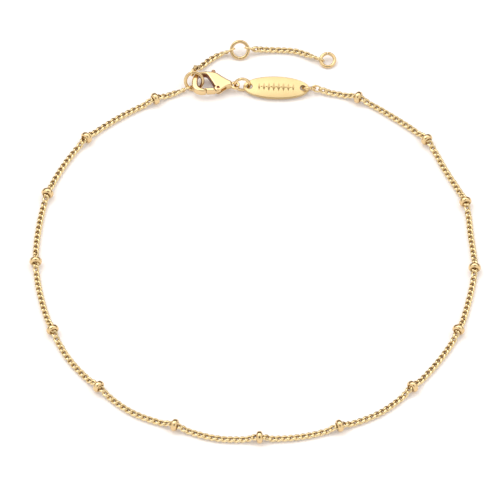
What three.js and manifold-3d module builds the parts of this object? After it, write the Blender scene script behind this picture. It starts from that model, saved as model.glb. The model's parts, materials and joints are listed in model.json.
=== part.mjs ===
// A gold-tone chain anklet, lying as a loop on a table: a fine curb chain with
// rondelle beads, an oval tag, a lobster clasp and a short extender chain.
// Millimetres, +Z up, the table at z = 0, the clasp and tag at the far side (+Y).

import * as THREE from 'three';
import { mergeVertices } from 'three/addons/utils/BufferGeometryUtils.js';
import Module from 'manifold-3d';

const wasm = await Module();
wasm.setup();

// Curb chain
const linkWire = 0.3;          // wire of a link
const linkPitch = 1.03;        // chain length that one link adds
const chainWidth = 1.15;       // across the flat side
const chainThickness = 0.72;   // through the flat side
const linkBite = 0.06;         // depth by which neighbouring links are soldered together
const tableGap = 0.02;         // the chain lies this far clear of the table
const endLinkLength = 2.0;     // outer length of the plain oval link at a chain's end
const linkPlay = 0.08;         // gap between an end link and the ring wire in it
const endLinkSkew = 25;        // most that an end link leans along its ring's wire, degrees
const endLinkLead = 0.9;       // an extender runs straight this far from an end link's middle

// Beads
const beadDiameter = 2.1;
const beadLength = 1.0;
const beadPlay = 0.1;          // gap between the chain and the bead's bore
const beadRim = 0.3;           // rounding of the bead's rim
const climbLength = 1.8;       // chain that climbs from the table to a bead
const heldShare = 0.6;         // chain kept level each side of a bead's middle, of its length

// Jump rings
const ringWire = 0.6;          // the three rings of the extender
const middleRingDiameter = 3.5;
const endRingDiameter = 3.0;
const tagWire = 0.5;           // the two rings of the tag
const tagRingDiameter = 3.0;
const chainRingDiameter = 2.6;
const splitGap = 0.06;         // hairline where a jump ring's ends meet
const splits = { tag: 120, chain: 70, clasp: 330, middle: 262, end: 92 };   // its angle

// Tag
const tagLength = 11.4;
const tagWidth = 4.3;
const tagThickness = 0.7;
const tagRound = 0.15;
const tagHoleInset = 1.1;      // from the tip to the middle of a hole
const tagHolePlay = 0.3;       // a ring stands aslant in its hole, so it needs this room

// Clasp
const claspLength = 8.3;       // from the hook to the far side of the eyelet
const claspWidth = 4.5;
const claspThickness = 1.3;
const claspRound = 0.2;
const hookWidth = 1.0;         // the limb that the clasp ring goes round
const hookPlay = 0.25;         // gap between that limb's corners and the ring
const ringOffLimb = 0.12;      // that ring's middle, outwards from the limb's
const ringAcross = 0.56;       // and towards the far side
const farWall = 0.59;          // clasp between its opening and its far side
const nearWall = 0.77;         // the same on the near side, past the hook
const pinWall = 0.74;          // from the opening to the middle of the pin
const eyeletDiameter = 1.6;
const eyeletThickness = 0.45;
const eyeletRound = 0.1;
const eyeletPlay = 0.2;
const eyeletBite = 0.16;       // depth by which the neck and the eyelet are joined
const pinDiameter = 0.44;
const pinFit = 0.03;           // pin in the cheeks
const pinPlay = 0.06;          // pin in the lever
const noseRadius = 0.72;       // cheeks round the pin
const noseArc = { from: -55, to: -210 };   // degrees round the pin
const leverThickness = 0.55;
const leverPlay = 0.1;         // lever between the cheeks
const leverArmWidth = 0.7;
const leverBossRadius = 0.6;
const gateDepth = 0.6;         // gate, from the opening to the near side
const gateGap = 0.08;          // gate to the hook tip and to the cheeks
const gateRound = 0.1;
const hookLip = 0.35;          // part of the hook tip that the gate rests on
const lapLength = 0.4;         // how far the gate reaches behind that lip
const nubReach = 0.7;          // thumb nub, past the clasp's far side
const leverTravel = 20;        // degrees that the lever opens
const slotMouth = 1.3;         // where the slot opens to the gate, in rooms of the boss
const slotHeel = 0.75;         // where it leaves the opened lever's arm for the tail
const wellPast = 1.4;          // a cutter's reach past the side that it cuts through

// How the pieces lean, in degrees. A ring's tilt lifts its far edge.
const claspRingTilt = 50;
const middleRingTilt = 37;
const endRingTilt = 20;
const tagRingTilt = 80;
const chainRingTilt = 127.5;
const tagTilt = 10;
const tagTurn = -2;
const claspTurn = -2;

// Where a piece is threaded on a ring, as an angle round the ring from +X
const tagRingToTag = -22;
const tagRingToClasp = 190;
const chainRingToTag = 180;

// The same for the chains' end links, with the slope at which each link droops
// from its ring towards the table (a share of its run, negative if it rises)
const threads = {
  mainOnClaspRing: { angle: 229, droop: 0 },
  mainOnChainRing: { angle: -12, droop: 0.1 },
  innerOnClaspRing: { angle: 100, droop: 0.1 },
  innerOnMiddleRing: { angle: 180, droop: 0.35 },
  outerOnMiddleRing: { angle: 12, droop: 0.35 },
  outerOnEndRing: { angle: 176, droop: 0 },
};

// Where the pieces lie on the table, chosen by hand
const tagPlace = { x: 4.5, y: 34.5 };
const tagRingInHole = { x: -0.12, y: 0.1 };   // its wire, from the hole's middle
const middleRingPlace = { x: -1.8, y: 42.75 };
const endRingPlace = { x: 13.45, y: 40.85 };

// The main chain's route, chosen by hand: each bead's place, and how far the
// stretch that follows it bows outwards from a straight line.
const beadRoute = [
  { x: -16.4, y: 32.05, bow: 0.6 },
  { x: -28.15, y: 23.5, bow: 0.65 },
  { x: -34.65, y: 11.45, bow: 0.5 },
  { x: -36.4, y: -3.2, bow: 0.55 },
  { x: -33.3, y: -17.6, bow: 0.85 },
  { x: -25.4, y: -29.45, bow: 1.25 },
  { x: -12.6, y: -37.4, bow: 1.1 },
  { x: 1.55, y: -39.9, bow: 0.75 },
  { x: 14.9, y: -37.55, bow: 1.2 },
  { x: 27.2, y: -29.45, bow: 0.6 },
  { x: 35.1, y: -17.6, bow: 0.4 },
  { x: 38.05, y: -4.5, bow: 0.15 },
  { x: 36.75, y: 9.6, bow: 0.1 },
  { x: 30.35, y: 23.1, bow: 0.6 },
  { x: 18.65, y: 32.35, bow: 0 },
];

// The extender's route between its end links, from the clasp ring outwards, and
// how far it is lifted off the table by the ring before it
const innerExtenderRoute = [
  { x: -8.7, y: 39.1, lift: 0.4 },
  { x: -7.0, y: 41.0, lift: 0 },
  { x: -5.3, y: 42.2, lift: 0 },
];
const outerExtenderRoute = [
  { x: 3.5, y: 43.3, lift: 0 },
  { x: 7.8, y: 42.95, lift: 0 },
];

// Numbers of facets
const wireSides = 6;
const linkSteps = 12;
const ringSides = 8;
const ringSteps = 20;
const beadSides = 12;
const rimSteps = 3;
const tubeSides = 8;
const pinSides = 16;
const curveSteps = 12;
const outlineSteps = { spine: 26, near: 4, nose: 8, opening: 16 };

const gold = { color: 0xd9b36a, roughness: 0.24, metalness: 1 };
const satinGold = { color: 0xe6cf94, roughness: 0.42, metalness: 1 };

const beadRadius = beadDiameter / 2;
const chainRestHeight = chainThickness / 2 + tableGap;
const curbLean = Math.PI / 4;  // how far a curb link's ends roll out of the chain's flat
const linkRestHeight = tableGap
  + (linkWire + (chainWidth - linkWire) * Math.sin(curbLean)) / 2;
const endLinkHalfLength = (endLinkLength - linkWire) / 2;

const anklet = new THREE.Group();
const loop = new THREE.Group();
anklet.add(loop);

function addMesh(name, geometry, finish, parent = loop) {
  const mesh = new THREE.Mesh(geometry, new THREE.MeshStandardMaterial(finish));
  mesh.name = name;
  parent.add(mesh);
  return mesh;
}

// Closed meshes and solids

function closedMesh(geometry) {
  const plain = geometry.clone();
  plain.deleteAttribute('normal');
  plain.deleteAttribute('uv');
  return mergeVertices(plain, 1e-5);
}

function toSolid(geometry) {
  const mesh = closedMesh(geometry);
  return new wasm.Manifold(new wasm.Mesh({
    numProp: 3,
    vertProperties: new Float32Array(mesh.attributes.position.array),
    triVerts: new Uint32Array(mesh.index.array),
  }));
}

function toGeometry(solid) {
  const { vertProperties, triVerts } = solid.getMesh();
  const geometry = new THREE.BufferGeometry();
  geometry.setAttribute('position', new THREE.BufferAttribute(vertProperties, 3));
  geometry.setIndex(new THREE.BufferAttribute(triVerts, 1));
  geometry.computeVertexNormals();
  return geometry;
}

function joined(geometries) {
  const solids = geometries.map(toSolid);
  return solids.reduce((all, next) => all.add(next));
}

// Straight-sided plate of a given thickness, centred on z = 0, with rounded edges
function plate(shape, thickness, round = 0, roundSteps = 2) {
  const geometry = new THREE.ExtrudeGeometry(shape, {
    depth: thickness - 2 * round,
    bevelEnabled: round > 0,
    bevelThickness: round,
    bevelSize: round,
    bevelOffset: -round,
    bevelSegments: roundSteps,
    curveSegments: curveSteps,
  });
  return geometry.translate(0, 0, round - thickness / 2);
}

// A path whose cross-section stays level, because its side always lies flat
class LevelPath extends THREE.Curve {
  constructor(stations) {
    super();
    this.stations = stations;
  }

  getPoint(t, target = new THREE.Vector3()) {
    const last = this.stations.length - 1;
    const place = Math.min(Math.max(t, 0), 1) * last;
    const before = Math.min(Math.floor(place), last - 1);
    return target.lerpVectors(this.stations[before], this.stations[before + 1], place - before);
  }

  getUtoTmapping(u) {
    return u;
  }

  computeFrenetFrames(steps) {
    const frames = { tangents: [], normals: [], binormals: [] };
    for (let i = 0; i <= steps; i++) {
      const tangent = this.getTangentAt(i / steps);
      const side = sideOf(tangent);
      frames.tangents.push(tangent);
      frames.normals.push(side);
      frames.binormals.push(new THREE.Vector3().crossVectors(tangent, side));
    }
    return frames;
  }
}

function sideOf(direction) {
  return new THREE.Vector3(-direction.y, direction.x, 0).normalize();
}

function evenPolygon(halfWidth, halfHeight, sides, turn = 0) {
  const shape = new THREE.Shape();
  for (let i = 0; i < sides; i++) {
    const angle = turn + (i / sides) * 2 * Math.PI;
    const x = halfWidth * Math.cos(angle);
    const y = halfHeight * Math.sin(angle);
    if (i === 0) shape.moveTo(x, y);
    else shape.lineTo(x, y);
  }
  shape.closePath();
  return shape;
}

// A ring of wire bent along a closed line: centreLine(angle) gives its middle
function bentRing(centreLine, wire, steps = linkSteps, sides = wireSides) {
  const geometry = new THREE.TorusGeometry(1, wire / 2, sides, steps);
  const position = geometry.attributes.position;
  const small = 1e-3;
  let index = 0;
  for (let j = 0; j <= sides; j++) {
    const turn = (j / sides) * 2 * Math.PI;
    for (let i = 0; i <= steps; i++) {
      const angle = (i / steps) * 2 * Math.PI;
      const middle = centreLine(angle);
      const tangent = centreLine(angle + small).sub(centreLine(angle - small)).normalize();
      const outward = middle.clone().addScaledVector(tangent, -middle.dot(tangent)).normalize();
      const across = new THREE.Vector3().crossVectors(tangent, outward);
      const point = middle.clone()
        .addScaledVector(outward, (wire / 2) * Math.cos(turn))
        .addScaledVector(across, -(wire / 2) * Math.sin(turn));
      position.setXYZ(index, point.x, point.y, point.z);
      index += 1;
    }
  }
  return geometry;
}

// Jump rings. Each stands on the table at its tilt.

function ringOnTable(diameter, wire, tiltDegrees, x, y) {
  const tilt = THREE.MathUtils.degToRad(tiltDegrees);
  const radius = (diameter - wire) / 2;
  return {
    radius,
    wire,
    tilt,
    centre: new THREE.Vector3(x, y, radius * Math.sin(tilt) + wire / 2),
    uphill: new THREE.Vector3(0, Math.cos(tilt), Math.sin(tilt)),
  };
}

function ringPoint(ring, degrees) {
  const angle = THREE.MathUtils.degToRad(degrees);
  return new THREE.Vector3(ring.radius * Math.cos(angle), 0, 0)
    .addScaledVector(ring.uphill, ring.radius * Math.sin(angle))
    .add(ring.centre);
}

function ringTangent(ring, degrees) {
  const angle = THREE.MathUtils.degToRad(degrees);
  return new THREE.Vector3(-Math.sin(angle), 0, 0).addScaledVector(ring.uphill, Math.cos(angle));
}

// Moves a ring over the table until the place at an angle round it meets a point
function threadRing(ring, degrees, point) {
  const place = ringPoint(ring, degrees);
  ring.centre.x += point.x - place.x;
  ring.centre.y += point.y - place.y;
}

class ArcPath extends THREE.Curve {
  constructor(radius, start, end) {
    super();
    Object.assign(this, { radius, start, end });
  }

  getPoint(t, target = new THREE.Vector3()) {
    const angle = this.start + (this.end - this.start) * t;
    return target.set(this.radius * Math.cos(angle), this.radius * Math.sin(angle), 0);
  }
}

function addJumpRing(name, ring, splitDegrees) {
  const split = THREE.MathUtils.degToRad(splitDegrees);
  const halfGap = splitGap / 2 / ring.radius;
  const geometry = new THREE.ExtrudeGeometry(
    evenPolygon(ring.wire / 2, ring.wire / 2, ringSides),
    {
      steps: ringSteps,
      extrudePath: new ArcPath(ring.radius, split + halfGap, split + 2 * Math.PI - halfGap),
    },
  );
  const mesh = addMesh(name, geometry, gold);
  mesh.position.copy(ring.centre);
  mesh.rotation.x = ring.tilt;
}

// Chain links

// The plain oval link that holds a ring's wire. It points at the next place on
// its chain's route, as far as its skew on the wire allows.
function endLinkOn(ring, thread, next) {
  const wirePoint = ringPoint(ring, thread.angle);
  const tangent = ringTangent(ring, thread.angle);
  const towards = new THREE.Vector3(next.x - wirePoint.x, next.y - wirePoint.y, 0)
    .normalize().setZ(-thread.droop).normalize();
  const square = towards.clone().addScaledVector(tangent, -towards.dot(tangent)).normalize();
  const most = THREE.MathUtils.degToRad(endLinkSkew);
  const skew = THREE.MathUtils.clamp(Math.asin(towards.dot(tangent)), -most, most);
  const along = square.multiplyScalar(Math.cos(skew)).addScaledVector(tangent, Math.sin(skew));
  const wireRoom = (ring.wire / 2 + linkPlay) / Math.cos(skew);
  return {
    along,
    across: new THREE.Vector3().crossVectors(tangent, along).normalize(),
    centre: wirePoint.clone().addScaledVector(along, endLinkHalfLength - linkWire / 2 - wireRoom),
    halfWidth: (ring.wire + linkWire) / 2 + linkPlay,
  };
}

function endLinkGeometry(link) {
  const geometry = bentRing((angle) => new THREE.Vector3()
    .addScaledVector(link.along, endLinkHalfLength * Math.cos(angle))
    .addScaledVector(link.across, link.halfWidth * Math.sin(angle)), linkWire);
  return geometry.translate(...link.centre);
}

function farEndOf(link) {
  return link.centre.clone().addScaledVector(link.along, endLinkHalfLength);
}

// A curb link between two neighbours: its wire turns with it, so that each end
// crosses the next link squarely. Rolls are angles round the chain at its ends.
function curbLinkGeometry(centre, along, pitch, rollBefore, rollAfter) {
  const side = sideOf(along);
  const up = new THREE.Vector3().crossVectors(along, side);
  const halfLength = (pitch + linkWire - linkBite) / 2;
  const halfWidth = (chainWidth - linkWire) / 2;
  const geometry = bentRing((angle) => {
    const x = halfLength * Math.cos(angle);
    const width = halfWidth * Math.sin(angle);
    const roll = (rollBefore + rollAfter) / 2 + (rollAfter - rollBefore) * (x / pitch);
    return new THREE.Vector3()
      .addScaledVector(along, x)
      .addScaledVector(side, width * Math.cos(roll))
      .addScaledVector(up, width * Math.sin(roll));
  }, linkWire);
  return geometry.translate(...centre);
}

function rollOf(across, along) {
  const side = sideOf(along);
  const up = new THREE.Vector3().crossVectors(along, side);
  return Math.atan2(across.dot(up), across.dot(side));
}

// The same roll counted in half turns, so that it comes nearest to another
function nearestHalfTurn(roll, other) {
  return roll - Math.PI * Math.round((roll - other) / Math.PI);
}

// A run of real, interlocking links between the end links on two rings
function linkRun(startLink, points, endLink) {
  const path = new THREE.CatmullRomCurve3([
    startLink.centre,
    startLink.centre.clone().addScaledVector(startLink.along, endLinkLead),
    ...points.map((point) => new THREE.Vector3(point.x, point.y, linkRestHeight + point.lift)),
    endLink.centre.clone().addScaledVector(endLink.along, endLinkLead),
    endLink.centre,
  ]);
  const length = path.getLength();
  const inside = length - 2 * endLinkHalfLength + linkWire - linkBite;
  const count = Math.round(inside / linkPitch);
  const pitch = inside / count;
  const first = (length - (count - 1) * pitch) / 2;
  const links = [endLinkGeometry(startLink), endLinkGeometry(endLink)];
  for (let i = 0; i < count; i++) {
    const u = (first + i * pitch) / length;
    const along = path.getTangentAt(u);
    let rollBefore = curbLean;
    let rollAfter = -curbLean;
    if (i === 0) {
      const square = rollOf(startLink.across, startLink.along) + Math.PI / 2;
      rollBefore = nearestHalfTurn(square, rollAfter);
    }
    if (i === count - 1) {
      const square = rollOf(endLink.across, endLink.along.clone().negate()) + Math.PI / 2;
      rollAfter = nearestHalfTurn(square, rollBefore);
    }
    links.push(curbLinkGeometry(path.getPointAt(u), along, pitch, rollBefore, rollAfter));
  }
  return toGeometry(joined(links));
}

// Beads and the main chain

function beadGeometry() {
  const bore = chainWidth / 2 + beadPlay;
  const half = beadLength / 2;
  const profile = [new THREE.Vector2(bore, -half)];
  for (const end of [-1, 1]) {
    for (let i = 0; i <= rimSteps; i++) {
      const angle = (Math.PI / 2) * (end < 0 ? 1 - i / rimSteps : i / rimSteps);
      profile.push(new THREE.Vector2(
        beadRadius - beadRim + beadRim * Math.cos(angle),
        end * (half - beadRim + beadRim * Math.sin(angle)),
      ));
    }
  }
  profile.push(new THREE.Vector2(bore, half), new THREE.Vector2(bore, -half));
  return new THREE.LatheGeometry(profile, beadSides).rotateZ(Math.PI / 2);
}

function mainRoute(startPoint, endPoint) {
  const points = [new THREE.Vector3(startPoint.x, startPoint.y, 0)];
  beadRoute.forEach((bead, i) => {
    points.push(new THREE.Vector3(bead.x, bead.y, 0));
    const next = beadRoute[i + 1];
    if (!next) return;
    const along = new THREE.Vector2(next.x - bead.x, next.y - bead.y).normalize();
    points.push(new THREE.Vector3(
      (bead.x + next.x) / 2 + along.y * bead.bow,
      (bead.y + next.y) / 2 - along.x * bead.bow,
      0,
    ));
  });
  points.push(new THREE.Vector3(endPoint.x, endPoint.y, 0));
  return new THREE.CatmullRomCurve3(points);
}

// Places along the route count in half stretches: bead i is at 2 i + 1
function routePlace(route, place, height) {
  const point = route.getPoint(place / (route.points.length - 1));
  return point.setZ(height);
}

function stationsOf(route, startPoint, endPoint) {
  const last = route.points.length - 1;
  const stretch = route.points[1].distanceTo(route.points[2]);
  const held = heldShare * beadLength / stretch;
  const landed = held + climbLength / stretch;
  const stations = [startPoint];
  for (let i = 0; i < beadRoute.length; i++) {
    const bead = 2 * i + 1;
    stations.push(
      routePlace(route, bead - landed, chainRestHeight),
      routePlace(route, bead - held, beadRadius),
      routePlace(route, bead + held, beadRadius),
      routePlace(route, bead + landed, chainRestHeight),
    );
    if (i < beadRoute.length - 1) {
      stations.push(routePlace(route, bead + 1, chainRestHeight));
    }
  }
  const lift = climbLength / 2 / stretch;
  stations.splice(1, 0, routePlace(route, lift, chainRestHeight));
  stations.push(routePlace(route, last - lift, chainRestHeight), endPoint);
  return stations;
}

function addMainChain(startLink, endLink) {
  const startPoint = farEndOf(startLink);
  const endPoint = farEndOf(endLink);
  const route = mainRoute(startPoint, endPoint);
  const stations = stationsOf(route, startPoint, endPoint);
  const tube = new THREE.ExtrudeGeometry(
    evenPolygon(chainWidth / 2, chainThickness / 2, tubeSides),
    { steps: stations.length - 1, extrudePath: new LevelPath(stations) },
  );
  const parts = [tube, endLinkGeometry(startLink), endLinkGeometry(endLink)];
  addMesh('main_chain', toGeometry(joined(parts)), gold);
  beadRoute.forEach((bead, i) => {
    const place = (2 * i + 1) / (route.points.length - 1);
    const along = route.getTangent(place);
    const mesh = addMesh(`bead_${String(i + 1).padStart(2, '0')}`, beadGeometry(), gold);
    mesh.position.set(bead.x, bead.y, beadRadius);
    mesh.rotation.z = Math.atan2(along.y, along.x);
  });
}

// Tag

function addTag(holeHeight) {
  const holeRadius = tagWire / 2 + tagHolePlay;
  const holeX = tagLength / 2 - tagHoleInset;
  const shape = new THREE.Shape();
  shape.absellipse(0, 0, tagLength / 2, tagWidth / 2, 0, 2 * Math.PI, false);
  for (const side of [-1, 1]) {
    const hole = new THREE.Path();
    hole.absarc(side * holeX, 0, holeRadius, 0, 2 * Math.PI, true);
    shape.holes.push(hole);
  }
  const tag = addMesh('tag', plate(shape, tagThickness, tagRound), satinGold);
  tag.rotation.set(THREE.MathUtils.degToRad(tagTilt), 0, THREE.MathUtils.degToRad(tagTurn));
  tag.position.set(tagPlace.x, tagPlace.y, 0);
  tag.updateMatrixWorld();
  tag.position.z = holeHeight - new THREE.Vector3(-holeX, 0, 0).applyMatrix4(tag.matrixWorld).z;
  tag.updateMatrixWorld();
  return [-1, 1].map((side) => new THREE.Vector3(side * holeX, 0, 0).applyMatrix4(tag.matrixWorld));
}

// Clasp. Its own frame has the eyelet's middle at the origin, the hook towards
// -X and the gate on the near side, -Y. Lengths from the hook's end are shares
// of the length as far as the eyelet, and offsets are shares of the width.

const hookEnd = -(claspLength - eyeletDiameter / 2);
const bodyLength = claspLength - eyeletDiameter + eyeletBite;

function claspPoint(lengthShare, widthShare) {
  return new THREE.Vector2(hookEnd + lengthShare * bodyLength, widthShare * claspWidth);
}

const hookAndSpine = [
  { along: 0.369, aside: -0.446 },
  { along: 0.23, aside: -0.46 },
  { along: 0.086, aside: -0.373 },
  { along: 0.012, aside: -0.167 },
  { along: 0, aside: 0.044 },
  { along: 0.029, aside: 0.267 },
  { along: 0.108, aside: 0.427 },
  { along: 0.237, aside: 0.515 },
  { along: 0.389, aside: 0.54 },
  { along: 0.533, aside: 0.533 },
  { along: 0.634, aside: 0.478 },
  { along: 0.749, aside: 0.344 },
  { along: 0.893, aside: 0.205 },
  { along: 1, aside: 0.115 },
];
const nearSide = [
  { along: 1, aside: -0.082 },
  { along: 0.893, aside: -0.125 },
  { along: 0.808, aside: -0.233 },
];
const pinShare = { along: 0.668, aside: -0.224 };
const nubShare = { along: 0.541, aside: 0.533 };
const slotEndShare = { along: 0.872, aside: -0.067 };

// The opening, in shares of its own length and width from its far left corner
const openingEdge = [
  { along: 0.99, aside: 0.69 },
  { along: 0.9, aside: 0.54 },
  { along: 0.574, aside: 0.06 },
  { along: 0.335, aside: 0 },
  { along: 0.123, aside: 0.045 },
  { along: 0.018, aside: 0.236 },
  { along: 0, aside: 0.522 },
  { along: 0.035, aside: 0.777 },
  { along: 0.176, aside: 0.952 },
  { along: 0.387, aside: 1 },
  { along: 0.55, aside: 1 },
];
const farSideShare = 0.54;
const nearSideShare = 0.46;

const pinPlace = claspPoint(pinShare.along, pinShare.aside);
const openingLength = pinPlace.x - hookEnd - hookWidth - pinWall;
const openingTop = farSideShare * claspWidth - farWall;
const openingWidth = openingTop + nearSideShare * claspWidth - nearWall;

function openingPoint({ along, aside }) {
  return new THREE.Vector2(
    hookEnd + hookWidth + along * openingLength,
    openingTop - aside * openingWidth,
  );
}

function frameShape() {
  const spine = new THREE.SplineCurve(hookAndSpine.map((p) => claspPoint(p.along, p.aside)));
  const near = new THREE.SplineCurve(nearSide.map((p) => claspPoint(p.along, p.aside)));
  const nose = new THREE.EllipseCurve(
    pinPlace.x, pinPlace.y, noseRadius, noseRadius,
    THREE.MathUtils.degToRad(noseArc.from), THREE.MathUtils.degToRad(noseArc.to), true,
  );
  const opening = new THREE.SplineCurve(openingEdge.map(openingPoint));
  return new THREE.Shape([
    ...spine.getPoints(outlineSteps.spine),
    ...near.getPoints(outlineSteps.near),
    ...nose.getPoints(outlineSteps.nose),
    ...opening.getPoints(outlineSteps.opening),
  ]);
}

// The lever's arm leans by this angle from +Y, seen at rest
const nubPlace = claspPoint(nubShare.along, nubShare.aside);
const armLean = Math.atan2(pinPlace.x - nubPlace.x, nubPlace.y - pinPlace.y);
const armLength = Math.hypot(pinPlace.x - nubPlace.x, nubPlace.y - pinPlace.y)
  + nubReach - leverArmWidth / 2;

// A point near the pin, given along and beside the lever's arm
function byArm(along, beside, openDegrees = 0) {
  const lean = armLean - THREE.MathUtils.degToRad(openDegrees);
  return new THREE.Vector2(
    pinPlace.x - along * Math.sin(lean) + beside * Math.cos(lean),
    pinPlace.y + along * Math.cos(lean) + beside * Math.sin(lean),
  );
}

const slotHeight = leverThickness + 2 * leverPlay;

// The slot takes the lever's arm through its whole travel, and stays open along
// the near side as far as the tail
function slotSolid() {
  const beyond = wellPast * claspWidth;
  const half = leverArmWidth / 2 + leverPlay;
  const bossRoom = noseRadius + leverPlay;
  const mouth = byArm(slotMouth * bossRoom, -half);
  const slotEnd = claspPoint(slotEndShare.along, slotEndShare.aside);
  const shape = new THREE.Shape([
    byArm(beyond, -half),
    mouth,
    new THREE.Vector2(pinPlace.x - 2 * bossRoom, mouth.y),
    new THREE.Vector2(pinPlace.x - 2 * bossRoom, pinPlace.y - 2 * bossRoom),
    new THREE.Vector2(slotEnd.x, pinPlace.y - 2 * bossRoom),
    slotEnd,
    byArm(slotHeel * bossRoom, half, leverTravel),
    byArm(beyond, half, leverTravel),
  ]);
  return toSolid(plate(shape, slotHeight));
}

function pinHole(radius) {
  const geometry = new THREE.CylinderGeometry(radius, radius, 2 * claspThickness, pinSides);
  geometry.rotateX(Math.PI / 2).translate(pinPlace.x, pinPlace.y, 0);
  return toSolid(geometry);
}

// The gate's lap behind the lip of the hook's tip
const hookTip = claspPoint(hookAndSpine[0].along, hookAndSpine[0].aside);
const lipEdge = hookTip.y + hookLip;
const lapStart = hookTip.x - lapLength;

function gatePocket() {
  const shape = new THREE.Shape([
    new THREE.Vector2(lapStart, lipEdge),
    new THREE.Vector2(lapStart + 3 * lapLength, lipEdge),
    new THREE.Vector2(lapStart + 3 * lapLength, lipEdge + 2 * gateDepth),
    new THREE.Vector2(lapStart, lipEdge + 2 * gateDepth),
  ]);
  return toSolid(plate(shape, 2 * claspThickness));
}

function eyeletGeometry() {
  const shape = new THREE.Shape();
  shape.absarc(0, 0, eyeletDiameter / 2, 0, 2 * Math.PI, false);
  const hole = new THREE.Path();
  hole.absarc(0, 0, tagWire / 2 + eyeletPlay, 0, 2 * Math.PI, true);
  shape.holes.push(hole);
  return plate(shape, eyeletThickness, eyeletRound, 1);
}

function claspBodyGeometry() {
  const frame = toSolid(plate(frameShape(), claspThickness, claspRound));
  const body = frame
    .subtract(slotSolid())
    .subtract(pinHole(pinDiameter / 2 + pinFit))
    .subtract(gatePocket())
    .add(toSolid(eyeletGeometry()));
  return toGeometry(body);
}

function leverArmShape() {
  const half = leverArmWidth / 2;
  const end = byArm(armLength, 0);
  const lean = Math.PI / 2 + armLean;
  const shape = new THREE.Shape();
  shape.moveTo(...byArm(0, -half));
  shape.lineTo(...byArm(0, half));
  shape.absarc(end.x, end.y, half, lean - Math.PI / 2, lean + Math.PI / 2, false);
  shape.closePath();
  return shape;
}

function gateShape() {
  const tipX = lapStart + gateGap;
  const restY = lipEdge + gateGap;
  const tipY = openingTop - openingWidth;
  const lipX = hookTip.x + gateGap;
  return new THREE.Shape([
    new THREE.Vector2(tipX, restY),
    new THREE.Vector2(lipX, restY),
    new THREE.Vector2(lipX, tipY - gateDepth),
    new THREE.Vector2(pinPlace.x, pinPlace.y - gateDepth - gateGap),
    new THREE.Vector2(pinPlace.x, pinPlace.y),
    new THREE.Vector2(tipX, tipY),
  ]);
}

// The gate fills the clasp's thickness as far as the cheeks, and a thinner web
// goes on between them to the pin
function leverGeometry() {
  const clearNose = new THREE.CylinderGeometry(
    noseRadius + gateGap, noseRadius + gateGap, 2 * claspThickness, 2 * pinSides,
  );
  clearNose.rotateX(Math.PI / 2).translate(pinPlace.x, pinPlace.y, 0);
  const boss = new THREE.CylinderGeometry(
    leverBossRadius, leverBossRadius, leverThickness, pinSides,
  );
  boss.rotateX(Math.PI / 2).translate(pinPlace.x, pinPlace.y, 0);
  const gate = toSolid(plate(gateShape(), claspThickness - gateGap, gateRound, 1));
  const web = toSolid(plate(gateShape(), leverThickness));
  const lever = gate.subtract(toSolid(clearNose))
    .add(web)
    .add(toSolid(boss))
    .add(toSolid(plate(leverArmShape(), leverThickness)))
    .subtract(pinHole(pinDiameter / 2 + pinPlay));
  return toGeometry(lever);
}

// The clasp hangs between the tag ring, through its eyelet, and the clasp ring,
// which stands round its hook and carries it clear of the table
function addClasp(eyeletPoint) {
  const tilt = THREE.MathUtils.degToRad(claspRingTilt);
  const limbMiddle = hookEnd + hookWidth / 2;
  const cornerAside = hookWidth / 2 + ringOffLimb - claspRound;
  const cornerUp = claspThickness / 2 / Math.sin(tilt);
  const ringInner = Math.hypot(cornerAside, cornerUp) + hookPlay;
  const ring = ringOnTable(2 * (ringInner + ringWire), ringWire, claspRingTilt, 0, 0);
  const ringX = limbMiddle - ringOffLimb;

  const clasp = new THREE.Group();
  clasp.position.copy(eyeletPoint);
  const pitch = Math.asin((ring.centre.z - eyeletPoint.z) / -ringX);
  clasp.rotation.set(0, pitch, THREE.MathUtils.degToRad(claspTurn));
  loop.add(clasp);
  addMesh('clasp_body', claspBodyGeometry(), gold, clasp);
  addMesh('clasp_lever', leverGeometry(), gold, clasp);
  const pin = new THREE.CylinderGeometry(
    pinDiameter / 2, pinDiameter / 2, claspThickness - 2 * pinFit, pinSides,
  );
  pin.rotateX(Math.PI / 2).translate(pinPlace.x, pinPlace.y, 0);
  addMesh('clasp_pin', pin, gold, clasp);

  clasp.updateMatrixWorld();
  const ringPlace = new THREE.Vector3(ringX, ringAcross, 0).applyMatrix4(clasp.matrixWorld);
  ring.centre.setX(ringPlace.x).setY(ringPlace.y);
  return ring;
}

// The whole anklet, outwards from the tag

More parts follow.
